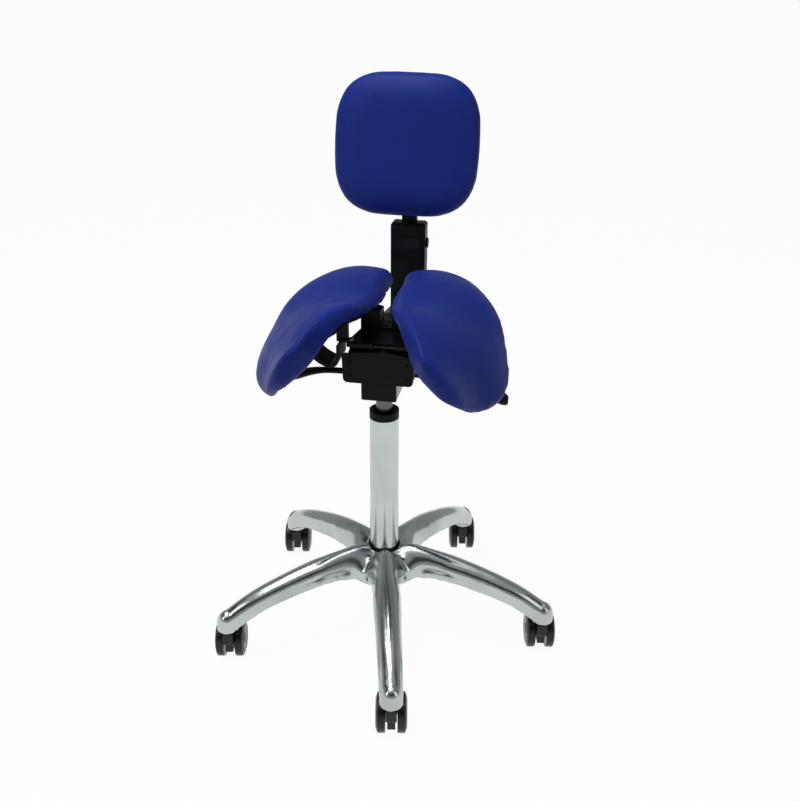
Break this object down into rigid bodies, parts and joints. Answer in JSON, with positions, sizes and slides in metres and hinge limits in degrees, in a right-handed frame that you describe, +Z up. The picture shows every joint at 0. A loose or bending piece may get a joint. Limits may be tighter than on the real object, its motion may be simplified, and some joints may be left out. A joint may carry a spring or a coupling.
{
  "type": "saddle stool",
  "caption": "Saddle stool with a divided blue seat, tilting mechanism, gas-spring column, star base on twin-wheel castors and a height-adjustable backrest pad.",
  "frame": {"origin": "on the floor, on the column's axis", "axes": "+Z up; the seat faces -Y; +X to the right seen from the front of the view along +Y"},
  "size_m": [0.5955, 0.6257, 0.9606],
  "materials": {
    "polished_aluminium": "polished casting",
    "chrome": "chrome plated",
    "grey_steel": "ground steel",
    "zinc_steel": "zinc plated",
    "black_steel": "satin powder coat",
    "black_plastic": "moulded, satin",
    "castor_black": "moulded nylon, semi gloss",
    "blue_leatherette": "smooth leatherette",
    "shell_black": "pressed shell"
  },
  "bodies": {
    "base": {"base_star": "polished_aluminium", "hub_ring": "black_plastic", "column_tube": "chrome", "guide_bush": "black_plastic", "thrust_bearing": "zinc_steel", "castor_stems": "zinc_steel"},
    "swivel_rod": {"piston_rod": "grey_steel", "rod_clip": "zinc_steel"},
    "lift_column": {"gas_cylinder": "grey_steel", "column_socket": "black_steel", "mechanism_housing": "black_steel", "socket_bolts": "zinc_steel", "front_cover": "black_plastic", "cover_screws": "black_steel", "lever_pins": "zinc_steel", "tilt_pin": "zinc_steel"},
    "valve": {"valve_pin": "grey_steel"},
    "height_control": {"height_lever": "black_steel", "height_grip": "black_plastic"},
    "tilt_control": {"tilt_lever": "black_steel", "tilt_grip": "black_plastic"},
    "seat_frame": {"tilt_plate": "black_steel", "tilt_sector": "black_steel", "centre_bracket": "black_steel", "wing_bracket_right": "black_steel", "wing_bracket_left": "black_steel", "frame_screws": "zinc_steel", "seat_shell_right": "shell_black", "seat_shell_left": "shell_black", "seat_cushion_right": "blue_leatherette", "seat_cushion_left": "blue_leatherette", "backrest_arm": "black_steel", "post_casing": "black_plastic"},
    "button": {"release_button": "black_plastic"},
    "backrest_slide": {"backrest_stem": "black_steel"},
    "backrest_pad": {"pad_pin": "zinc_steel", "pad_bracket": "black_steel", "pad_shell": "shell_black", "pad_cushion": "blue_leatherette"},
    "castor_1": {"castor_1_housing": "castor_black", "castor_1_axle": "zinc_steel"},
    "castor_1_roller_a": {"castor_1_wheel_a": "castor_black"},
    "castor_1_roller_b": {"castor_1_wheel_b": "castor_black"},
    "castor_2": {"castor_2_housing": "castor_black", "castor_2_axle": "zinc_steel"},
    "castor_2_roller_a": {"castor_2_wheel_a": "castor_black"},
    "castor_2_roller_b": {"castor_2_wheel_b": "castor_black"},
    "castor_3": {"castor_3_housing": "castor_black", "castor_3_axle": "zinc_steel"},
    "castor_3_roller_a": {"castor_3_wheel_a": "castor_black"},
    "castor_3_roller_b": {"castor_3_wheel_b": "castor_black"},
    "castor_4": {"castor_4_housing": "castor_black", "castor_4_axle": "zinc_steel"},
    "castor_4_roller_a": {"castor_4_wheel_a": "castor_black"},
    "castor_4_roller_b": {"castor_4_wheel_b": "castor_black"},
    "castor_5": {"castor_5_housing": "castor_black", "castor_5_axle": "zinc_steel"},
    "castor_5_roller_a": {"castor_5_wheel_a": "castor_black"},
    "castor_5_roller_b": {"castor_5_wheel_b": "castor_black"}
  },
  "joints": [
    {"name": "column_swivel", "type": "hinge", "parent": "base", "child": "swivel_rod", "pos_m": [0, 0, 0.104], "axis": [0, 0, 1], "continuous": true},
    {"name": "seat_height", "type": "slide", "parent": "swivel_rod", "child": "lift_column", "axis": [0, 0, 1], "range_m": [0, 0.2]},
    {"name": "height_lever_turn", "type": "hinge", "parent": "lift_column", "child": "height_control", "pos_m": [0.042, 0.015, 0.504], "axis": [0, -1, 0], "range_deg": [0, 6], "stiffness_Nm_per_rad": 3, "springref_deg": -6.88},
    {"name": "valve_press", "type": "slide", "parent": "lift_column", "child": "valve", "axis": [0, 0, -1], "range_m": [0, 0.0045]},
    {"name": "tilt_lever_turn", "type": "hinge", "parent": "lift_column", "child": "tilt_control", "pos_m": [-0.042, 0.015, 0.504], "axis": [0, 1, 0], "range_deg": [0, 7], "stiffness_Nm_per_rad": 3, "springref_deg": -6.88},
    {"name": "seat_tilt", "type": "hinge", "parent": "lift_column", "child": "seat_frame", "pos_m": [0, 0, 0.556], "axis": [1, 0, 0], "range_deg": [-4, 8]},
    {"name": "button_press", "type": "slide", "parent": "seat_frame", "child": "button", "axis": [-1, 0, 0], "range_m": [0, 0.003], "stiffness_N_per_m": 800, "springref_m": -0.002},
    {"name": "backrest_height", "type": "slide", "parent": "seat_frame", "child": "backrest_slide", "axis": [0, 0, 1], "range_m": [-0.04, 0.06]},
    {"name": "pad_tilt", "type": "hinge", "parent": "backrest_slide", "child": "backrest_pad", "pos_m": [0, 0.239, 0.806], "axis": [1, 0, 0], "range_deg": [-12, 12]},
    {"name": "castor_1_swivel", "type": "hinge", "parent": "base", "child": "castor_1", "pos_m": [0.06593, -0.28241, 0.066], "axis": [0, 0, 1], "continuous": true},
    {"name": "castor_1_roll_a", "type": "hinge", "parent": "castor_1", "child": "castor_1_roller_a", "pos_m": [0.06211, -0.26074, 0.0325], "axis": [-0.9848, -0.1736, 0], "continuous": true},
    {"name": "castor_1_roll_b", "type": "hinge", "parent": "castor_1", "child": "castor_1_roller_b", "pos_m": [0.06211, -0.26074, 0.0325], "axis": [-0.9848, -0.1736, 0], "continuous": true},
    {"name": "castor_2_swivel", "type": "hinge", "parent": "base", "child": "castor_2", "pos_m": [0.28896, -0.02457, 0.066], "axis": [0, 0, 1], "continuous": true},
    {"name": "castor_2_roll_a", "type": "hinge", "parent": "castor_2", "child": "castor_2_roller_a", "pos_m": [0.28514, -0.0029, 0.0325], "axis": [-0.9848, -0.1736, 0], "continuous": true},
    {"name": "castor_2_roll_b", "type": "hinge", "parent": "castor_2", "child": "castor_2_roller_b", "pos_m": [0.28514, -0.0029, 0.0325], "axis": [-0.9848, -0.1736, 0], "continuous": true},
    {"name": "castor_3_swivel", "type": "hinge", "parent": "base", "child": "castor_3", "pos_m": [0.11266, 0.26722, 0.066], "axis": [0, 0, 1], "continuous": true},
    {"name": "castor_3_roll_a", "type": "hinge", "parent": "castor_3", "child": "castor_3_roller_a", "pos_m": [0.10884, 0.28889, 0.0325], "axis": [-0.9848, -0.1736, 0], "continuous": true},
    {"name": "castor_3_roll_b", "type": "hinge", "parent": "castor_3", "child": "castor_3_roller_b", "pos_m": [0.10884, 0.28889, 0.0325], "axis": [-0.9848, -0.1736, 0], "continuous": true},
    {"name": "castor_4_swivel", "type": "hinge", "parent": "base", "child": "castor_4", "pos_m": [-0.21933, 0.18972, 0.066], "axis": [0, 0, 1], "continuous": true},
    {"name": "castor_4_roll_a", "type": "hinge", "parent": "castor_4", "child": "castor_4_roller_a", "pos_m": [-0.22315, 0.21139, 0.0325], "axis": [-0.9848, -0.1736, 0], "continuous": true},
    {"name": "castor_4_roll_b", "type": "hinge", "parent": "castor_4", "child": "castor_4_roller_b", "pos_m": [-0.22315, 0.21139, 0.0325], "axis": [-0.9848, -0.1736, 0], "continuous": true},
    {"name": "castor_5_swivel", "type": "hinge", "parent": "base", "child": "castor_5", "pos_m": [-0.24821, -0.14997, 0.066], "axis": [0, 0, 1], "continuous": true},
    {"name": "castor_5_roll_a", "type": "hinge", "parent": "castor_5", "child": "castor_5_roller_a", "pos_m": [-0.25203, -0.1283, 0.0325], "axis": [-0.9848, -0.1736, 0], "continuous": true},
    {"name": "castor_5_roll_b", "type": "hinge", "parent": "castor_5", "child": "castor_5_roller_b", "pos_m": [-0.25203, -0.1283, 0.0325], "axis": [-0.9848, -0.1736, 0], "continuous": true}
  ],
  "couplings": [
    {"joint": "valve_press", "follows": "height_lever_turn", "m_per_rad": 0.042}
  ]
}
